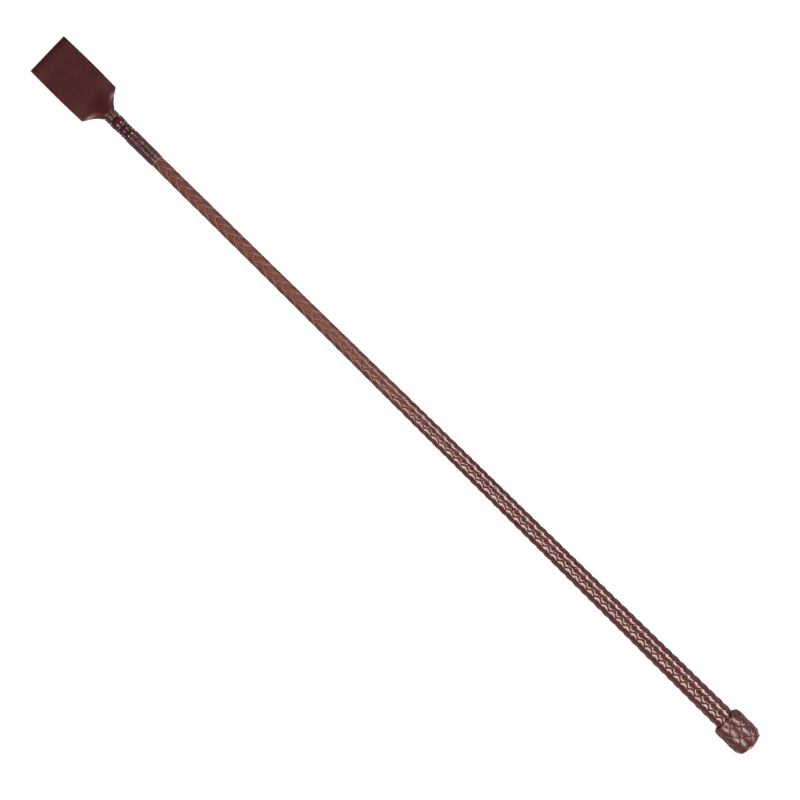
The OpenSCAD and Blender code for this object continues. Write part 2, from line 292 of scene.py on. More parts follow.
def last_step(own, hand):
    """The step at which a strand ends."""
    if is_dropped(own, hand):
        return STRAND_COUNT * (DROP_TURN + SETTLE_TURNS * DROPPED_SHARE)
    run = WHIP[0] + UNDER_WHIP - lay_x(np.array(SHAFT_TURN))
    return STRAND_COUNT * (SHAFT_TURN + run / LEAD_SHAFT)


def own_and_other(own, other, hand):
    """The lane numbers in the order u, v."""
    return (own, other) if hand > 0 else (other, own)


def strand_steps(own, hand):
    """Steps along a strand and the distance gone, without the lanes that have closed up."""
    n = np.arange(0, last_step(own, hand), 1 / SAMPLES_PER_LANE)
    lanes = own_and_other(own + 0 * n, own + hand * n, hand)
    line = lattice_point(*lanes, 0.0)
    steps = np.linalg.norm(np.diff(line, axis=0), axis=1)
    gone = np.concatenate([[0], np.cumsum(steps)])
    keep, last_kept = [0], 0.0
    for k in range(1, len(n)):
        if gone[k] - last_kept > SHORTEST_STEP:
            keep.append(k)
            last_kept = gone[k]
    return n[keep], gone[keep]


def strand_lay(own, hand, n):
    """(lay of a strand, 0 on top and 1 beneath, and how far it bulges) at its steps."""
    d, on_top = float_place(own, hand, n, settled(n))
    shift = np.where(on_top, TUCK, -TUCK)
    dive = smooth(0.5 + 0.5 * (d + shift) / DIVE)
    belly = np.where(on_top, BELLY * smooth(d / BELLY_RUN), 0)
    return np.where(on_top, 1 - dive, dive), belly


def strand_relief(toward_tip, dry):
    """(rounding, crown, raised tipward edge) across a strand, each in mm."""
    across, fall = STRAND_SECTION[:, 0][None, :], STRAND_SECTION[:, 1][None, :]
    fall = fall * mix(mix(1.0, 0.6, toward_tip > 0), 0.8, dry)
    crown = mix(0.07, 0.02, dry) * across ** 2
    flick = mix(0.46, 0.17, dry) * ramp(toward_tip, 0.2, 1.0)
    return fall, crown, flick - 0.11 * ramp(-toward_tip, 0.4, 1.0)


def plait_strand(number):
    """One leather thong of the plait, from under the knot to its end."""
    hand = 1 if number <= LANES else -1
    own = (number - 1) % LANES
    n, gone = strand_steps(own, hand)
    lay, belly = strand_lay(own, hand, n)
    along = gone + STRAND_GAP * number
    x = lay_x(n / STRAND_COUNT)
    dry = ramp(x, *DRY_X)
    seed = 100 + number
    lift = mix(0.035, 0.06, dry) * waves(along, seed, 9.0)
    width = STRAND_FILL * (1 + mix(0.018, 0.03, dry) * waves(along, seed + 50, 7.0))
    across = STRAND_SECTION[:, 0]
    toward_tip = -hand * across[None, :]
    fall, crown, flick = strand_relief(toward_tip, dry[:, None])
    depth = LAY_STEP * lay[:, None] + fall + crown - flick - (belly + lift)[:, None]
    q = across[None, :] * 0.5 * width[:, None]
    shape = q.shape
    other = np.repeat((own + hand * n)[:, None], shape[1], axis=1)
    rings = lattice_point(*own_and_other(own + q, other, hand), depth)
    cut = np.clip((np.abs(across) - CUT_FROM) / CUT_RUN, 0, 1) * np.where(toward_tip > 0, 1.0, 0.3)
    floats = {
        "across": np.broadcast_to(across, shape),
        "cut": np.broadcast_to(cut, shape),
        "gloss": np.broadcast_to(1 - ramp(x, *DULL_X)[:, None], shape),
    }
    flat = [np.broadcast_to(along[:, None], shape), q * FLAT_WIDTH, np.full(shape, number * FLAT_GAP)]
    vectors = {"flat": np.stack(flat, axis=-1)}
    return tube(f"strand_{number:02d}", rings, floats, vectors, flip=hand > 0)


STRAND_END_DEGREES = 171
STRAND_END_X = (WHIP[0] + 1.2, WHIP[0] - 1.0)
STRAND_END_HALF = (0.55, 0.32)
STRAND_END_RISE = (0.1, 0.95)
STRAND_END_T = 0.55
STRAND_END_BEVEL = 0.12


def strand_end():
    """The tip of one plait strand that pokes out from under the long whipping."""
    run = np.linspace(0, 1, 9)
    x = mix(*STRAND_END_X, run)
    half = mix(*STRAND_END_HALF, run) * np.where(run == 1, 0.6, 1.0)
    top = plait_r(x) + mix(*STRAND_END_RISE, smooth(run * 1.3))
    base, shoulder = top - STRAND_END_T, top - STRAND_END_BEVEL
    a = math.radians(STRAND_END_DEGREES)
    out = np.array([0, math.cos(a), math.sin(a)])
    side = np.array([0, -math.sin(a), math.cos(a)])
    axis = np.array([1.0, 0, 0])
    outline = ((base, 1), (shoulder, 1), (top, 0.6), (top, -0.6), (shoulder, -1), (base, -1))
    rings = np.stack([
        x[:, None] * axis + r[:, None] * out + (w * half)[:, None] * side for r, w in outline
    ], axis=1)
    shape = rings.shape[:2]
    floats = {"across": np.zeros(shape), "cut": np.full(shape, 0.35), "gloss": np.zeros(shape)}
    return tube("strand_end", rings, floats, {"flat": rings})


# ---------------------------------------------------------------- the knot
# One closed strap, five passes round the knob, with six scallops at each end.
SCALLOPS, PASSES = 6, 5
KNOT_MID = sum(KNOT) / 2
KNOT_TURN = 22.0
KNOT_ROW = 4.55
KNOT_T = 1.0
KNOT_STEP = 0.7
KNOT_DIVE = 0.15
KNOT_TUCK = 0.05
KNOT_HALF = 0.474         # half the strap's width, in lanes
KNOT_R = max(span("turks_head_knot", 1)) - 0.05
KNOT_LANE = 6.9           # mm of strap in one lane
KNOT_HALF_MM = 3.2
KNOT_CROWN, KNOT_PILLOW, KNOT_WAVE = 0.13, 0.12, 0.05
BEND_R = 0.07
BEND_OUT = 2 * KNOT_HALF + BEND_R
BEND_C = KNOT_HALF + BEND_R
RISE_AT, RISE_RUN = 3.38, 0.5    # where the strap sinks again before the bend, in lanes
END_FLAT = 2.48           # scallops beyond this row are pressed flat
END_PRESS = 0.6           # and lose this share of what stands out
POINTED_AT, POINTED_WIDE, POINTED_GAIN = 140, 24, 1.15    # one scallop runs to a point instead
RAISED_AT, RAISED_WIDE, RAISED_BY = 24, 16, 0.45          # and one stands up
KNOT_TOP = [(-1, 0.46), (-0.975, 0.17), (-0.92, 0.05), (-0.82, 0.01), (-0.4, 0.0), (0, 0.0),
            (0.4, 0.0), (0.82, 0.01), (0.92, 0.05), (0.975, 0.17), (1, 0.46)]
KNOT_UNDER = [(0.92, KNOT_T), (-0.92, KNOT_T)]
KNOT_SECTION = np.array(KNOT_TOP + KNOT_UNDER)


def joined(parts):
    """Pairs of arrays as one array of points."""
    return np.concatenate([np.stack(pair, 1) for pair in parts])


def knot_path():
    """Low edge, high edge (lanes u, v) and distance gone (lanes) all round the closed strap."""
    far = PASSES - 1
    run = np.linspace(BEND_C - 1, far - BEND_C, 60)[1:-1]
    bend = np.linspace(0, math.pi / 2, 22)
    c, s = np.cos(bend), np.sin(bend)
    bend_at = mix(far - BEND_C, far + BEND_C, bend / (math.pi / 2))
    flat = np.zeros_like(run)
    low, high, at = [], [], []
    for k in range(SCALLOPS):
        i, j = PASSES * k, PASSES * k + far
        low += [(flat + i - KNOT_HALF, i + run),
                (i + BEND_C - BEND_OUT * c, j - BEND_C + BEND_OUT * s),
                (i + 1 + run, flat + j + KNOT_HALF),
                (j + 1 - BEND_C + BEND_R * s, j + BEND_C - BEND_R * c)]
        high += [(flat + i + KNOT_HALF, i + run),
                 (i + BEND_C - BEND_R * c, j - BEND_C + BEND_R * s),
                 (i + 1 + run, flat + j - KNOT_HALF),
                 (j + 1 - BEND_C + BEND_OUT * s, j + BEND_C - BEND_OUT * c)]
        for half in (2 * k, 2 * k + 1):
            at += [PASSES * half + run, PASSES * half + bend_at]
    return joined(low), joined(high), np.concatenate(at)


def knot_lay(at):
    """Lay of the strap, 0 on top and 1 beneath: under, over, under, over, then round the bend."""
    w = np.mod(at + 1, PASSES) - 1
    lay = np.ones_like(w)
    for crossing, sign in ((0.5, -1), (1.5, 1), (2.5, -1)):
        start = crossing + sign * KNOT_TUCK - KNOT_DIVE
        lay += sign * smooth((w - start) / (2 * KNOT_DIVE))
    lay += smooth((w - RISE_AT) / RISE_RUN)
    return np.where(w < -0.4, 1.0, lay)


def knot_roll(row, a):
    """How far the knot's two ends roll inward; the butt's end rolls most at the low side."""
    low_side = 0.5 - 0.5 * np.sin(a)
    butt = (0.6 + 1.35 * low_side) * ramp(-row, 1.35, 2.7) ** 1.5
    return butt + 0.3 * ramp(row, 1.9, 2.8) ** 2


def knot_point(u, v, depth):
    """The point on the knot at two lane numbers, at a depth below its surface."""
    row = v - u - 1.5
    degrees = LANE_DEGREES * (u + v) + KNOT_TURN
    over = np.maximum(np.abs(row) - END_FLAT, 0)
    pointed = angle_bump(degrees, POINTED_AT, POINTED_WIDE) * (row > 0)
    row = np.sign(row) * (np.abs(row) - (END_PRESS - POINTED_GAIN * pointed) * over)
    a = np.radians(degrees)
    lump = RAISED_BY * angle_bump(degrees, RAISED_AT, RAISED_WIDE) * ramp(row, 1.6, 2.4)
    r = KNOT_R - knot_roll(row, a) + lump - depth
    return about_axis(KNOT_MID + KNOT_ROW * row, r, a)


def knot():
    """The flat strap of the Turk's head."""
    low, high, at = knot_path()
    across = KNOT_SECTION[:, 0]
    share = (across + 1)[None, :, None] / 2
    lanes = mix(low[:, None, :], high[:, None, :], share)
    crown = KNOT_CROWN * across[None, :] ** 2
    lay = knot_lay(at)[:, None]
    pillow = KNOT_PILLOW * (1 + np.cos(2 * np.pi * at))[:, None] * (1 - lay)
    gone = at * KNOT_LANE
    lift = KNOT_WAVE * waves(gone, 11, 11.0)[:, None]
    depth = KNOT_STEP * lay + KNOT_SECTION[:, 1][None, :] + crown - lift - pillow
    rings = knot_point(lanes[..., 0], lanes[..., 1], depth)
    shape = depth.shape
    place = np.broadcast_to(across, shape)
    cut = np.broadcast_to(np.clip((np.abs(across) - 0.86) / 0.1, 0, 1), shape)
    flat = [np.broadcast_to(gone[:, None], shape), place * KNOT_HALF_MM, np.full(shape, 3.0)]
    vectors = {"flat": np.stack(flat, axis=-1)}
    return tube("knot_strap", rings, {"across": place, "cut": cut}, vectors, closed=True)


# ---------------------------------------------------------------- the butt's dome
DOME_RISE = 2.6
DOME_BACK = [(3.1, 0.02), (3.6, -0.1), (3.92, -0.5)]    # place and radius past the rim
SHANK_START, SHANK_NECK, SHANK_R = 3.94, 1.25, 1.1


def dome():
    """The domed metal cap and its shank."""
    low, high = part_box("butt_cap")
    rim, end = high[1] / MM, high[0] / MM
    ball = (rim * rim + DOME_RISE * DOME_RISE) / (2 * DOME_RISE)
    rs = np.linspace(0.02, rim - 0.12, 22)
    face = [[ball - math.sqrt(ball * ball - r * r), r] for r in rs]
    back = [[2.75, rim]] + [[x, rim + past] for x, past in DOME_BACK]
    shank = [[SHANK_START, SHANK_NECK], [end, SHANK_R], [end, 0.02]]
    piece = lathe("butt_dome", face + back + shank, 96)
    close_corners(piece, 50)
    return piece


# ---------------------------------------------------------------- wound thread
THREAD_IN_R = 4.05
ROWS_PER_PITCH = 7
THREAD_POINTS = 72


def thread_relief(x, a, pitch, ridge, seed):
    """(height of the ridges, unevenness of the lacquer) over places x and angles a."""
    wander = 0.16 * pitch * waves(x * 6 + 3 * np.sin(a), seed, 30.0)
    phase = (x + wander) / pitch + a / (2 * np.pi)
    coil = np.floor(phase)
    # a number between 0 and 1 that differs from coil to coil
    swell = 0.5 + 0.5 * np.sin(coil * 12.9898 + seed) * np.cos(coil * 4.1 + seed)
    crest = np.abs(np.sin(np.pi * phase)) ** 0.6
    lump = 0.03 * waves(x * 2 + 5 * np.cos(a + seed), seed + 1, 9.0)
    return ridge * (crest * (0.75 + 0.5 * swell) - 1), lump


def wound_thread(name, node_span, radius, pitch, ridge, seed, pale_start=0):
    """Thread wound side by side: a ridged skin whose ridges climb one pitch each turn."""
    x0, x1 = node_span
    rows = int((x1 - x0) / pitch * ROWS_PER_PITCH)
    x = np.linspace(x0, x1, rows)[:, None]
    a = np.linspace(0, 2 * np.pi, THREAD_POINTS, endpoint=False)[None, :]
    ridges, lump = thread_relief(x, a, pitch, ridge, seed)
    ends = np.sqrt(np.clip(np.minimum(x - x0, x1 - x) / (0.6 * pitch), 0, 1))
    r = radius(x) + ridges + lump
    r = THREAD_IN_R + (r - THREAD_IN_R) * mix(0.55, 1.0, ends)
    pale = np.zeros_like(r)
    if pale_start:
        fade = smooth((np.abs(x - x0) - pale_start * 0.6) / (pale_start * 0.4))
        pale = np.maximum(pale, 1 - fade + 0 * a)
    shape = r.shape
    x_all, a_all = np.broadcast_to(x, shape), np.broadcast_to(a, shape)
    rings = about_axis(x_all, r, a_all)
    flat = np.stack([x_all, a_all * radius(x), np.full(shape, seed)], axis=2)
    inside = about_axis(x_all, np.full(shape, THREAD_IN_R), a_all)
    back = [rows - 1, 0]    # the skin closes along the inner face, from its end to its start
    rings = np.concatenate([rings, inside[back]])
    flat = np.concatenate([flat, flat[back]])
    pale = np.concatenate([pale, pale[back]])
    return tube(name, rings, {"pale": pale}, {"flat": flat}, closed=True)


def long_radius(x):
    """Outer radius of the long whipping: it steps down to the plait at its start."""
    at_shaft = plait_r(np.array(SHAFT_END)) + 0.22
    full = mix(at_shaft, max(span("long_whipping", 1)), ramp(x, WHIP[0], WHIP[0] + 4))
    return full + 0.12 * ramp(x, WHIP[0] + 6, WHIP[1])


def band_radius(node):
    """A function for the straight outer radius of a thread band."""
    top = max(span(node, 1)) + 0.02
    return lambda x: top + 0 * x


# ---------------------------------------------------------------- the keeper's tails
TAIL_R, TAIL_WHIPPED_R, TAIL_GROOVE_R, TAIL_SWELL_R = 4.2, 4.15, 4.0, 4.05
TAIL_SWELLS = ((WHIP[1], BAND_3[0], 4.62), (BAND_3[1], BAND_2[0], 4.60),
               (BAND_2[1], BAND_NECK[0], 5.0))
TAIL_IN_R, TAIL_START_R = 2.0, 3.7
TAIL_EASE = 2
TAIL_END = NECK - 4.0
TAIL_GAP_DEGREES = 1.5
TAIL_EDGE_R, TAIL_EDGE_RUN = 0.45, 0.16
PUCKER, PUCKER_RUN, PUCKER_FOLDS = 0.05, 0.55, 13
TAIL_FLAT_GAP = 31.0


def tail_radius(x):
    """Outer radius of the tails: three swellings between the whipping and the bands."""
    r = np.full_like(x, TAIL_R)
    r = np.where(x < WHIP[1], TAIL_WHIPPED_R, r)
    for x0, x1, top in TAIL_SWELLS:
        t = np.clip((x - x0) / (x1 - x0), 0, 1)
        # fuller on the side of the butt, where the leather is drawn back by the thread
        body = np.clip(1 - np.abs(2 * t ** 0.92 - 1) ** 3.2, 0, 1) ** 0.5
        inside = (x > x0) & (x < x1)
        r = np.where(inside, TAIL_SWELL_R + (top - TAIL_SWELL_R) * body, r)
    in_3 = (x >= BAND_3[0]) & (x <= BAND_3[1])
    in_2 = (x >= BAND_2[0]) & (x <= BAND_2[1])
    return np.where(in_3 | in_2 | (x >= BAND_NECK[0]), TAIL_GROOVE_R, r)


def tail_pucker(x, a):
    """Fine folds where the thread draws the leather together."""
    pucker = np.zeros((len(x), len(a)))
    for at in (*BAND_3, *BAND_2, BAND_NECK[0], WHIP[1]):
        close = np.exp(-np.abs(x - at) / PUCKER_RUN)[:, None]
        pucker += PUCKER * close * np.cos(a * PUCKER_FOLDS + at)[None, :]
    return pucker


def keeper_tail(side):
    """One of the strip's two ends, half round the rod."""
    start = min(span("keeper_tail_upper")[0], span("keeper_tail_lower")[0])
    x = np.concatenate([np.linspace(start, WHIP[1], 12)[:-1],
                        np.linspace(WHIP[1], TAIL_END, 130)])
    r = tail_radius(x)
    r = np.where(x < start + TAIL_EASE, mix(TAIL_START_R, r, (x - start) / TAIL_EASE), r)
    gap = math.radians(TAIL_GAP_DEGREES)
    a = np.linspace(gap, math.pi - gap, 41)
    near_edge = np.clip(np.minimum(a, math.pi - a) / TAIL_EDGE_RUN, 0, 1)
    rounded = TAIL_EDGE_R * (1 - np.sqrt(np.clip(1 - (1 - near_edge) ** 2, 0, 1)))
    outer = r[:, None] - rounded[None, :] - tail_pucker(x, a)
    back = a[::-1][::4]
    angles = np.concatenate([a, back])
    radii = np.concatenate([outer, np.full((len(x), len(back)), TAIL_IN_R)], axis=1)
    y, z = radii * np.cos(angles), radii * np.sin(angles) * side
    rings = np.stack([np.repeat(x[:, None], len(angles), axis=1), y, z], axis=2)
    flat = [rings[..., 0], radii * angles, np.full_like(radii, TAIL_FLAT_GAP * side)]
    vectors = {"flat": np.stack(flat, axis=2)}
    name = "tail_upper" if side > 0 else "tail_lower"
    return tube(name, rings, vectors=vectors, flip=side > 0)


# ---------------------------------------------------------------- the keeper's flap
FLAP_W = span("keeper_flap", 1)[1] - span("keeper_flap", 1)[0]
FACE_Z = span("keeper_flap", 2)[1]
SIDE_BOW = 0.4
SHOULDER_L = 10.0
SHOULDER_HOLLOW = 1.6
NECK_W = 9.4
NECK_PINCH = 0.75         # how much narrower the neck is inside the thread band
NECK_CROWN, NECK_SINK = 4.75, 0.72
NECK_RIM = 0.25
PLY_T = 1.62
PLY_CLEAR = 0.09          # the plies stay this far from the middle plane
FOLD_L = 4.0
FOLD_SWELL, FOLD_SWELL_RUN = 0.45, 9
EDGE_LEAN = 0.11
SKEW = 0.5
LIP = 0.10                # how far the cut edge's corners are set in


def half_width(x):
    """Half the flap's width: neck, hollow shoulder, pointed corner and slightly bowed side."""
    full = FLAP_W / 2 - SIDE_BOW
    t = np.clip((x - NECK) / SHOULDER_L, 0, 1)
    shoulder = mix(NECK_W / 2, full, t) - SHOULDER_HOLLOW * np.sin(np.pi * t)
    u = np.clip((x - NECK - SHOULDER_L) / (TIP - NECK - SHOULDER_L), 0, 1)
    side = full + SIDE_BOW * np.sin(np.pi * u)
    w = np.where(x < NECK + SHOULDER_L, shoulder, side)
    return w - NECK_PINCH * (1 - ramp(x, NECK - 0.2, NECK + 1.1))


def flap_surface(x, q):
    """Outer face of the upper ply: a half tube at the neck that fans out flat."""
    past = x - NECK
    crown = mix(NECK_CROWN, FACE_Z, ramp(past, 0.6, 17) ** 0.75)
    crown = crown - NECK_SINK * (1 - ramp(past, -0.2, 1.3))
    rim = mix(NECK_RIM, FACE_Z, ramp(past, -0.5, 9.5))
    power = mix(0.5, 1.35, ramp(past, 0, 12))
    z = rim + (crown - rim) * np.clip(1 - q * q, 0, 1) ** power
    dish = 0.05 * np.sin(x * 0.11 + 1.0) * np.cos(q * 2.1) + 0.04 * np.sin(x * 0.23 + q * 2.0)
    z = z + dish * ramp(past, 12, 20) - 0.10 * q ** 4 * ramp(past, 8, 14)
    z = z + FOLD_SWELL * ramp(x, TIP - FOLD_L - FOLD_SWELL_RUN, TIP - FOLD_L)
    return np.stack([x, half_width(x) * q, z], axis=-1)


def droop(x, y):
    """How far both plies hang down: the shoulders and the far corners curl a little."""
    reach = smooth((np.abs(y) - 2.5) / 10) * np.where(y < 0, 1.7, 0.9)
    shoulders = reach * np.exp(-((x - NECK - 8) / 9) ** 2)
    corners = 0.25 * ramp(x, TIP - 25, TIP) * (y / 16) ** 2
    return shoulders + corners


def offset_inward(points, thickness):
    """The points moved along the grid's inward normals."""
    du = np.gradient(points, axis=0)
    dv = np.gradient(points, axis=1)
    normal = np.cross(du, dv)
    normal /= np.linalg.norm(normal, axis=2, keepdims=True) + 1e-12
    return points - normal * thickness


def upper_ply():
    """Grids of the outer and inner face from under the neck band to the start of the fold."""
    x = np.concatenate([
        np.linspace(BAND_NECK[0] + 0.3, NECK, 6)[:-1],
        np.linspace(NECK, NECK + 20, 70)[:-1],
        np.linspace(NECK + 20, TIP - FOLD_L, 40),
    ])
    q = np.sin(np.linspace(-1, 1, 61) * math.pi / 2)
    x, q = np.meshgrid(x, q, indexing="ij")
    outer = flap_surface(x, q)
    inner = offset_inward(outer, PLY_T)
    inner[..., 2] = np.maximum(inner[..., 2], PLY_CLEAR)
    inner[..., 0] = outer[..., 0]
    limit = np.abs(outer[..., 1])
    inner[..., 1] = np.clip(inner[..., 1], -limit, limit)
    inner[..., 1] = mix(inner[..., 1], outer[..., 1], ramp(x, NECK + 6, NECK + 12))
    return outer, inner


def folded(face, reach):
    """A face of the upper ply carried round the fold and back along the lower ply."""
    x, y, z = face[-1].T
    phi = np.linspace(0, math.pi, 15)[1:-1]
    fold = np.stack([
        np.stack([x + reach * math.sin(p), y, z * math.cos(p)], axis=1) for p in phi
    ])
    under = face[::-1] * np.array([1, 1, -1])
    return np.concatenate([face, fold, under])


def lean(face):
    """The fold's slight skew, the lower ply's offset to one side and the droop, in place."""
    x = face[..., 0]
    x -= ramp(x, NECK + 6, TIP) * SKEW * (0.5 + face[..., 1] / FLAP_W)
    face[..., 1] += EDGE_LEAN * (FACE_Z - face[..., 2]) * ramp(x, NECK + 4, NECK + 12)
    face[..., 2] -= droop(x, face[..., 1])


def flap():
    """The folded strip, one closed skin: rings run out along the outer face and back inside."""
    outer, inner = upper_ply()
    outer = folded(outer, FOLD_L)
    inner = folded(inner, FOLD_L - PLY_T)
    lean(outer)
    lean(inner)
    rows, cols = outer.shape[:2]
    lip_a = mix(outer[:, :1], inner[:, :1], LIP)
    lip_b = mix(outer[:, -1:], inner[:, -1:], LIP)
    rings = np.concatenate([outer, lip_b, inner[:, ::-1], lip_a], axis=1)
    raw = np.zeros(rings.shape[:2])
    raw[:, [cols, cols + 1, -2, -1]] = 1
    side = np.where(np.arange(rows) < rows // 2, 1.0, -1.0)
    flat = rings + side[:, None, None] * np.array([0, 0, 40.0])
    piece = tube("keeper_leather", rings, {"raw": raw}, {"flat": flat})
    close_corners(piece, 40)
    return piece


# ---------------------------------------------------------------- materials
# Between these two values a noise node's output mostly lies
SPREAD = (0.35, 0.68)
WIDE_SPREAD = (0.3, 0.7)


class Shader:
    """One material's node tree, built up with add() and feed()."""

    def __init__(self, name):
        self.mat = bpy.data.materials.new(name)
        self.mat.use_nodes = True
        self.tree = self.mat.node_tree
        self.bsdf = self.tree.nodes["Principled BSDF"]

    def add(self, kind, settings=None, **inputs):
        """A new node with its settings and inputs; an underscore stands for a space."""
        made = self.tree.nodes.new("ShaderNode" + kind)
        for key, value in (settings or {}).items():
            setattr(made, key, value)
        for key, value in inputs.items():
            self.feed(made.inputs[key.replace("_", " ")], value)
        return made

    def feed(self, socket, value):
        """Link a socket to another one, or give it a plain value."""
        if isinstance(value, bpy.types.NodeSocket):
            self.tree.links.new(value, socket)
        else:
            socket.default_value = value

    def surface(self, **inputs):
        for key, value in inputs.items():
            self.feed(self.bsdf.inputs[key.replace("_", " ")], value)

    def attribute(self, name, output="Fac"):
        return self.add("Attribute", {"attribute_name": name}).outputs[output]

    def place(self):
        return self.add("TexCoord").outputs["Object"]

    def math(self, operation, a, b=0.0):
        made = self.add("Math", {"operation": operation})
        self.feed(made.inputs[0], a)
        self.feed(made.inputs[1], b)
        return made.outputs[0]

    def plus(self, a, b):
        return self.math("ADD", a, b)

    def times(self, a, b):
        return self.math("MULTIPLY", a, b)

    def ramp(self, value, low, high, to_low=0.0, to_high=1.0):
        made = self.add("MapRange", {"interpolation_type": "SMOOTHSTEP"}, Value=value,
                        From_Min=low, From_Max=high, To_Min=to_low, To_Max=to_high)
        return made.outputs["Result"]

    def blend(self, factor, a, b):
        made = self.add("Mix", {"data_type": "RGBA"})
        self.feed(made.inputs[0], factor)
        self.feed(made.inputs[6], a)
        self.feed(made.inputs[7], b)
        return made.outputs[2]

    def noise(self, place, per_mm, detail=3.0, stretch=(1, 1, 1)):
        scaled = self.add("VectorMath", {"operation": "MULTIPLY"})
        self.feed(scaled.inputs[0], place)
        scaled.inputs[1].default_value = [per_mm * s for s in stretch]
        made = self.add("TexNoise", Vector=scaled.outputs[0], Scale=1.0, Detail=detail,
                        Roughness=0.6)
        return made.outputs["Fac"]

    def cells(self, place, per_mm, feature="F1"):
        scaled = self.add("VectorMath", {"operation": "SCALE"})
        self.feed(scaled.inputs[0], place)
        scaled.inputs["Scale"].default_value = per_mm
        made = self.add("TexVoronoi", {"feature": feature}, Vector=scaled.outputs[0], Scale=1.0)
        return made.outputs["Distance"]

    def bump(self, *layers):
        """Stacked bumps, each (height socket, how deep in mm)."""
        normal = None
        for height, depth in layers:
            made = self.add("Bump", Height=height, Strength=1.0, Distance=depth * MM)
            if normal:
                self.feed(made.inputs["Normal"], normal)
            normal = made.outputs["Normal"]
        return normal


def colour(text):
    """An sRGB hex colour as a linear one."""
    parts = [int(text[k:k + 2], 16) / 255 for k in (0, 2, 4)]
    return [c / 12.92 if c <= 0.04045 else ((c + 0.055) / 1.055) ** 2.4 for c in parts] + [1.0]


def plait_leather():
    """Lacquered brown leather on the handle, darkened by painted shade towards its strands' edges,
    that turns dry, with pale cut edges, on the shaft.
    """
    s = Shader("plait_leather")
    flat = s.attribute("flat", "Vector")
    gloss = s.attribute("gloss")
    cut = s.attribute("cut")
    across = s.math("ABSOLUTE", s.attribute("across"))
    cloud = s.noise(flat, 0.16, 3)
    streak = s.noise(flat, 0.9, 4, stretch=(0.35, 1.6, 1))
    grain = s.noise(flat, 3.2, 3)
    pores = s.cells(flat, 2.1)
    handle = s.blend(s.ramp(cloud, *SPREAD), colour("4a231e"), colour("572b23"))
    shaft = s.blend(s.ramp(cloud, *SPREAD), colour("603529"), colour("6c3f33"))
    base = s.blend(gloss, shaft, handle)
    base = s.blend(s.ramp(streak, 0.5, 0.8, 0, 0.22), base, colour("8a5344"))
    # painted shade: on the handle the colour darkens towards each strand's edges, where the creases
    # between strands are
    painted_crease_shade = s.ramp(across, 0.74, 0.95, 0, 0.55)
    base = s.blend(s.times(painted_crease_shade, gloss), base, colour("3a1a15"))
    edge_colour = s.blend(gloss, colour("dcbcae"), colour("653c32"))
    worn = s.ramp(s.noise(flat, 0.45, 3), 0.3, 0.6, 0.5, 1.0)
    base = s.blend(s.times(cut, worn), base, edge_colour)
    speckle = s.ramp(grain, 0.42, 0.66)
    dull = s.plus(0.50, s.times(speckle, 0.16))
    shine = s.plus(0.23, s.times(speckle, 0.12))
    rough = s.plus(s.times(dull, s.math("SUBTRACT", 1.0, gloss)), s.times(shine, gloss))
    dent = s.times(s.noise(flat, 0.6, 4), gloss)
    normal = s.bump((dent, 0.07), (streak, 0.014), (grain, 0.009), (pores, 0.005))
    s.surface(Base_Color=base, Roughness=rough, Normal=normal, Coat_Normal=normal,
              Coat_Weight=s.times(gloss, 0.8), Coat_Roughness=0.12, Specular_IOR_Level=0.42)
    return s.mat


def knot_leather():
    """Wrinkled satin leather, with painted shade darkening it towards the strap's edges and a pale
    cut edge that is partly a painted highlight.
    """
    s = Shader("knot_leather")
    flat = s.attribute("flat", "Vector")
    cut = s.attribute("cut")
    across = s.math("ABSOLUTE", s.attribute("across"))
    cloud = s.noise(flat, 0.2, 4)
    crumple = s.noise(flat, 0.75, 4)
    grain = s.noise(flat, 2.6, 3)
    base = s.blend(s.ramp(cloud, *SPREAD), colour("4a2420"), colour("5a2f29"))
    # painted shade: the strap darkens towards its edges, where the creases between the crossings are
    base = s.blend(s.ramp(across, 0.72, 0.94, 0, 0.8), base, colour("2e1512"))
    # pale cut edge: partly the raw leather's own colour, partly a painted highlight where the
    # bevelled edge catches the light
    base = s.blend(s.times(cut, 0.3), base, colour("a06f63"))
    rough = s.plus(0.27, s.times(s.ramp(crumple, 0.35, 0.7), 0.17))
    normal = s.bump((crumple, 0.16), (grain, 0.04))
    s.surface(Base_Color=base, Roughness=rough, Normal=normal, Coat_Normal=normal,
              Coat_Weight=0.5, Coat_Roughness=0.2, Specular_IOR_Level=0.5)
    return s.mat


def keeper_leather():
    """Smooth calf with a fine pressed grain; raw fibrous leather shows on its cut edges."""
    s = Shader("keeper_leather")
    flat = s.attribute("flat", "Vector")
    raw = s.attribute("raw")
    cloud = s.noise(flat, 0.07, 4)
    mottle = s.noise(flat, 0.5, 4)
    pebble = s.cells(flat, 1.5, "SMOOTH_F1")
    grain = s.noise(flat, 4.0, 2)
    scratch = s.noise(flat, 0.5, 5, stretch=(0.12, 2.4, 1))
    base = s.blend(s.ramp(cloud, 0.35, 0.7), colour("48201e"), colour("4d2421"))
    base = s.blend(s.ramp(mottle, 0.5, 0.75, 0, 0.08), base, colour("5a2f2b"))
    base = s.blend(s.ramp(scratch, 0.68, 0.74, 0, 0.22), base, colour("6b4540"))
    fibre = s.noise(flat, 2.5, 4)
    fibre = s.blend(s.ramp(fibre, *WIDE_SPREAD), colour("7a4640"), colour("b58478"))
    base = s.blend(raw, base, fibre)
    rough = s.plus(0.33, s.times(s.ramp(mottle, *WIDE_SPREAD), 0.08))
    rough = s.plus(rough, s.times(raw, 0.35))
    normal = s.bump((mottle, 0.018), (pebble, 0.03), (grain, 0.010))
    s.surface(Base_Color=base, Roughness=rough, Normal=normal, Coat_Normal=normal,
              Coat_Weight=0.2, Coat_Roughness=0.3)
    return s.mat


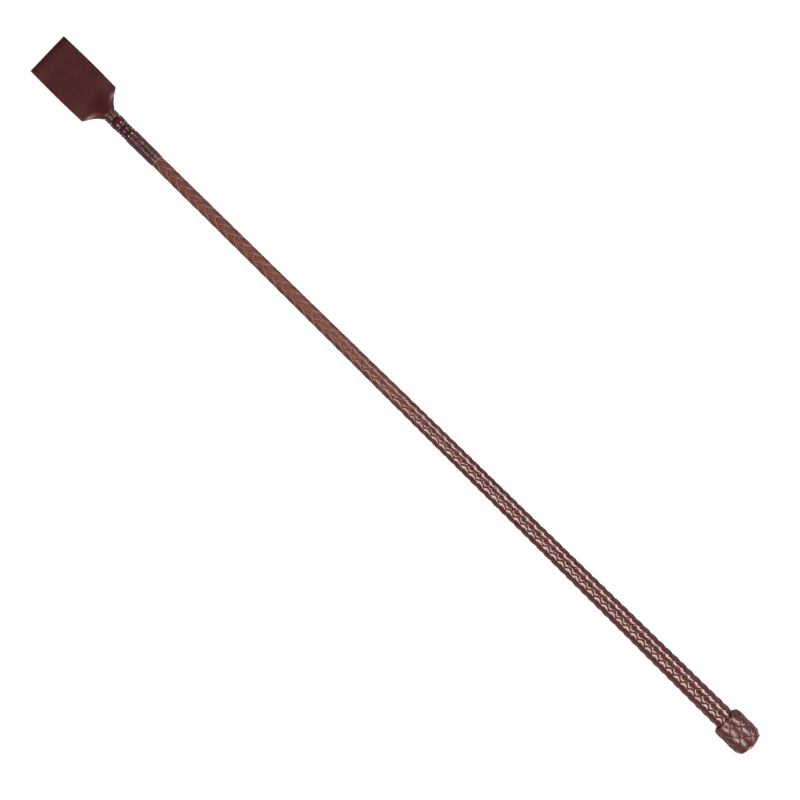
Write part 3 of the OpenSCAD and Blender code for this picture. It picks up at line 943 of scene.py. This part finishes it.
def tail_leather():
    """The keeper's tails, drawn tight and polished with lacquer."""
    s = Shader("tail_leather")
    flat = s.attribute("flat", "Vector")
    cloud = s.noise(flat, 0.3, 4)
    grain = s.noise(flat, 2.0, 3)
    base = s.blend(s.ramp(cloud, *SPREAD), colour("3e1b1b"), colour("4d2523"))
    rough = s.plus(0.22, s.times(cloud, 0.1))
    s.surface(Base_Color=base, Roughness=rough, Normal=s.bump((cloud, 0.05), (grain, 0.015)),
              Coat_Weight=1.0, Coat_Roughness=0.05)
    return s.mat


def lacquered_thread():
    """Dark waxed thread under uneven lacquer, paler at its starting end."""
    s = Shader("lacquered_thread")
    flat = s.attribute("flat", "Vector")
    pale = s.attribute("pale")
    cloud = s.noise(flat, 0.55, 4)
    fibre = s.noise(flat, 3.4, 3, stretch=(1, 0.5, 1))
    drops = s.noise(flat, 2.1, 2, stretch=(1.0, 0.9, 1))
    base = s.blend(s.ramp(cloud, *SPREAD), colour("391b1d"), colour("502b2c"))
    base = s.blend(s.ramp(fibre, 0.5, 0.78, 0, 0.35), base, colour("7a4c4c"))
    base = s.blend(pale, base, colour("a07f7c"))
    rough = s.plus(0.36, s.times(s.ramp(drops, 0.4, 0.65), 0.25))
    normal = s.bump((drops, 0.13), (fibre, 0.02))
    s.surface(Base_Color=base, Roughness=rough, Normal=normal, Coat_Normal=normal,
              Coat_Weight=1.0, Coat_Roughness=0.05, Specular_IOR_Level=0.35)
    return s.mat


def nickel():
    """Polished metal with a faint haze and fine scuffs; its noises count per metre."""
    s = Shader("nickel")
    haze = s.noise(s.place(), 350, 4)
    scuff = s.noise(s.place(), 1600, 3, stretch=(1, 3, 1))
    base = s.blend(s.ramp(haze, 0.35, 0.7), colour("867b7d"), colour("9c9192"))
    rough = s.plus(0.10, s.times(haze, 0.14))
    s.surface(Base_Color=base, Metallic=1.0, Roughness=rough, Normal=s.bump((scuff, 0.004)))
    return s.mat


def hidden_finish(name, dark, light, per_mm, stretch, roughness, depth):
    """A finish for an inner piece: two tones in a stretched noise."""
    s = Shader(name)
    figure = s.noise(s.place(), per_mm / MM, 4, stretch=stretch)
    base = s.blend(s.ramp(figure, *SPREAD), colour(dark), colour(light))
    s.surface(Base_Color=base, Roughness=roughness, Normal=s.bump((figure, depth)))
    return s.mat


# Inner nodes: name of the finish, dark and light tone, scale, stretch, roughness, bump
BELLY_LEATHER = ("belly_leather", "7d6047", "96785a", 0.7, (0.3, 1, 1), 0.75, 0.04)
INNER_FINISHES = {
    "core_rod": ("fibreglass", "b8b08c", "d6cfae", 0.8, (0.05, 1, 1), 0.4, 0.01),
    "handle_buildup": BELLY_LEATHER,
    "shaft_underlay": BELLY_LEATHER,
    # painted shade: the knob former is made dark so that the gap between the dome and the knot looks
    # shaded
    "knob_former": ("wood_dark_as_gap_shade", "3f281b", "573a27", 0.5, (0.15, 1, 1), 0.6, 0.03),
    "butt_binding": ("waxed_thread", "3b242b", "573741", 3.0, (3, 0.2, 0.2), 0.5, 0.05),
    # leather, made darker than the plait as painted shade in the gap between the knob and the handle
    "knot_foundation": ("leather_dark_as_gap_shade", "2c1612", "3d201a", 0.7, (1, 1, 1), 0.6, 0.04),
}


# ---------------------------------------------------------------- putting the pieces together
def finish(piece, body, material, slot, *replaced):
    """Give a piece its material, the CAD nodes it stands for and its body; the slot argument is not
    used.
    """
    piece.data.materials.clear()
    piece.data.materials.append(material)
    if replaced:
        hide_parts(*replaced)
    if body:
        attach(piece, body)
    return piece


def build_plait():
    material = plait_leather()
    for number, node in enumerate(STRANDS, 1):
        finish(plait_strand(number), CROP, material, "plait_leather", node)
    finish(strand_end(), CROP, material, "plait_leather")


def build_butt():
    finish(knot(), CROP, knot_leather(), "knot_leather", "turks_head_knot")
    finish(dome(), CROP, nickel(), "nickel", "butt_cap")


def build_threads():
    material = lacquered_thread()
    long = wound_thread("long_whipping_thread", WHIP, long_radius, 0.34, 0.014, 3, pale_start=0.35)
    finish(long, CROP, material, "thread", "long_whipping")
    bands = (("thread_band_3", 0.44, 0.08, 5), ("thread_band_2", 0.44, 0.08, 6),
             ("thread_band_neck", 0.34, 0.03, 7))
    for node, pitch, ridge, seed in bands:
        name = node.replace("band", "winding")
        piece = wound_thread(name, span(node), band_radius(node), pitch, ridge, seed)
        finish(piece, CROP, material, "thread", node)


def build_keeper():
    tails = tail_leather()
    for side, node in ((1, "keeper_tail_upper"), (-1, "keeper_tail_lower")):
        finish(keeper_tail(side), CROP, tails, "keeper_leather", node)
    piece = finish(flap(), None, keeper_leather(), "keeper_leather", "keeper_flap")
    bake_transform(piece)


def paint_inner_nodes():
    made = {}
    for node, looks in INNER_FINISHES.items():
        name = looks[0]
        if name not in made:
            made[name] = hidden_finish(*looks)
        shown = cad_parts[node]
        shown.data.materials.clear()
        shown.data.materials.append(made[name])


# ---------------------------------------------------------------- light, floor and camera
STAGE_MIDDLE = Vector((0.02, 0, 0))
LIGHT_LENGTH = 0.84
# Long soft lights beside the crop: name, degrees from overhead towards +Y, distance, width,
# radiance and tint
SOFTBOXES = (
    ("softbox_near", -45, 1.0, 0.27, 14.5, (1.0, 0.86, 0.89)),
    ("softbox_far", 33, 1.05, 0.44, 11.0, (1.0, 0.89, 0.85)),
)
SKY_HEIGHT = (0.98, 0.35)         # from almost overhead down towards the horizon
SKY_STRENGTH = (0.003, 0.03)
FLOOR_HALF, FLOOR_Z = 3.0, -0.12
FLOOR_GLOW = 0.10                 # what a reflection sees of the floor
FLOOR_TO_CAMERA = 0.90            # added for the camera, which makes it white
FLOOR_TO_DIFFUSE = 0.40           # added for the light that the floor throws back
BUTT_CARD_X, BUTT_CARD, BUTT_STRIPES = (-0.03, -0.06), 0.35, 1.6
TIP_CARD_X, TIP_CARD = (0.645, 0.665), 1.3
CAMERA_DISTANCE, CAMERA_ACROSS, SENSOR = 2.6, 0.525, 36
CAMERA_TURN = math.radians(-135.5)


def placed(x_axis, y_axis, z_axis, place):
    """The matrix that puts an object at a place with its three axes along these."""
    rows = [[x_axis[k], y_axis[k], z_axis[k], place[k]] for k in range(3)]
    return Matrix(rows + [[0, 0, 0, 1]])


def softbox(name, toward, distance, wide, radiance, tint):
    light = bpy.data.lights.new(name, "AREA")
    light.shape = "RECTANGLE"
    light.size, light.size_y = LIGHT_LENGTH, wide
    light.energy = radiance * math.pi * light.size * wide
    light.color = tint
    a = math.radians(toward)
    away = Vector((0, math.sin(a), math.cos(a)))
    along = Vector((1, 0, 0))
    lamp = bpy.data.objects.new(name, light)
    lamp.matrix_world = placed(along, away.cross(along), away, STAGE_MIDDLE + away * distance)
    scene.collection.objects.link(lamp)


def build_world():
    """Dim overhead and paler towards the horizon, and plain white where the camera sees it."""
    world = bpy.data.worlds.new("studio")
    world.use_nodes = True
    tree = world.node_tree
    back = tree.nodes["Background"]
    place = tree.nodes.new("ShaderNodeTexCoord")
    split = tree.nodes.new("ShaderNodeSeparateXYZ")
    fade = tree.nodes.new("ShaderNodeMapRange")
    limits = (*SKY_HEIGHT, *SKY_STRENGTH)
    for key, number in zip(("From Min", "From Max", "To Min", "To Max"), limits):
        fade.inputs[key].default_value = number
    back.inputs["Color"].default_value = (1, 1, 1, 1)
    path = tree.nodes.new("ShaderNodeLightPath")
    pick = tree.nodes.new("ShaderNodeMix")
    pick.inputs["B"].default_value = 1.0
    tree.links.new(place.outputs["Generated"], split.inputs[0])
    tree.links.new(split.outputs["Z"], fade.inputs["Value"])
    tree.links.new(path.outputs["Is Camera Ray"], pick.inputs["Factor"])
    tree.links.new(fade.outputs["Result"], pick.inputs["A"])
    tree.links.new(pick.outputs["Result"], back.inputs["Strength"])
    scene.world = world


def floor_cards(s):
    """Glow of the pale cards beyond both ends, for the dome and the fold to mirror."""
    split = s.add("SeparateXYZ", Vector=s.place())
    aside = s.math("ABSOLUTE", split.outputs["Y"])
    stripe = s.times(s.ramp(aside, 0.02, 0.04), s.ramp(aside, 0.12, 0.08))
    butt = s.plus(BUTT_CARD, s.times(stripe, BUTT_STRIPES))
    butt = s.times(s.ramp(split.outputs["X"], *BUTT_CARD_X), butt)
    return s.plus(butt, s.ramp(split.outputs["X"], *TIP_CARD_X, 0, TIP_CARD))


def floor_paint():
    """White to a camera above, clear to one below, and dim in reflections but for the cards."""
    s = Shader("floor")
    rays = s.add("LightPath").outputs
    seen = rays["Is Camera Ray"]
    glow = s.plus(s.plus(FLOOR_GLOW, floor_cards(s)), s.times(seen, FLOOR_TO_CAMERA))
    glow = s.plus(glow, s.times(rays["Is Diffuse Ray"], FLOOR_TO_DIFFUSE))
    s.surface(Base_Color=(0.15, 0.15, 0.15, 1), Roughness=0.9, Specular_IOR_Level=0.1,
              Emission_Color=(1, 1, 1, 1), Emission_Strength=glow)
    from_below = s.times(seen, s.add("NewGeometry").outputs["Backfacing"])
    both = s.add("MixShader")
    s.feed(both.inputs[0], from_below)
    s.feed(both.inputs[1], s.bsdf.outputs[0])
    s.feed(both.inputs[2], s.add("BsdfTransparent").outputs[0])
    s.feed(s.tree.nodes["Material Output"].inputs[0], both.outputs[0])
    return s.mat


def build_floor():
    half = FLOOR_HALF
    corners = [(-half, -half, 0), (half, -half, 0), (half, half, 0), (-half, half, 0)]
    mesh = bpy.data.meshes.new("floor")
    mesh.from_pydata(corners, [], [(0, 1, 2, 3)])
    mesh.materials.append(floor_paint())
    floor = bpy.data.objects.new("floor", mesh)
    floor.location = (STAGE_MIDDLE.x, 0, FLOOR_Z)
    scene.collection.objects.link(floor)


def build_camera():
    """Straight above the crop's middle, turned so that the crop lies along a diagonal."""
    data = bpy.data.cameras.new("camera")
    data.sensor_width = SENSOR
    data.lens = SENSOR * CAMERA_DISTANCE / CAMERA_ACROSS
    data.clip_end = 20
    camera = bpy.data.objects.new("camera", data)
    right = Vector((math.cos(CAMERA_TURN), math.sin(CAMERA_TURN), 0))
    out = Vector((0, 0, 1))
    camera.matrix_world = placed(right, out.cross(right), out, (TIP * MM / 2, 0, CAMERA_DISTANCE))
    scene.collection.objects.link(camera)
    scene.camera = camera


build_plait()
build_butt()
build_threads()
build_keeper()
paint_inner_nodes()
for box in SOFTBOXES:
    softbox(*box)
build_world()
build_floor()
build_camera()
scene.view_settings.view_transform = "Standard"
scene.view_settings.look = "None"
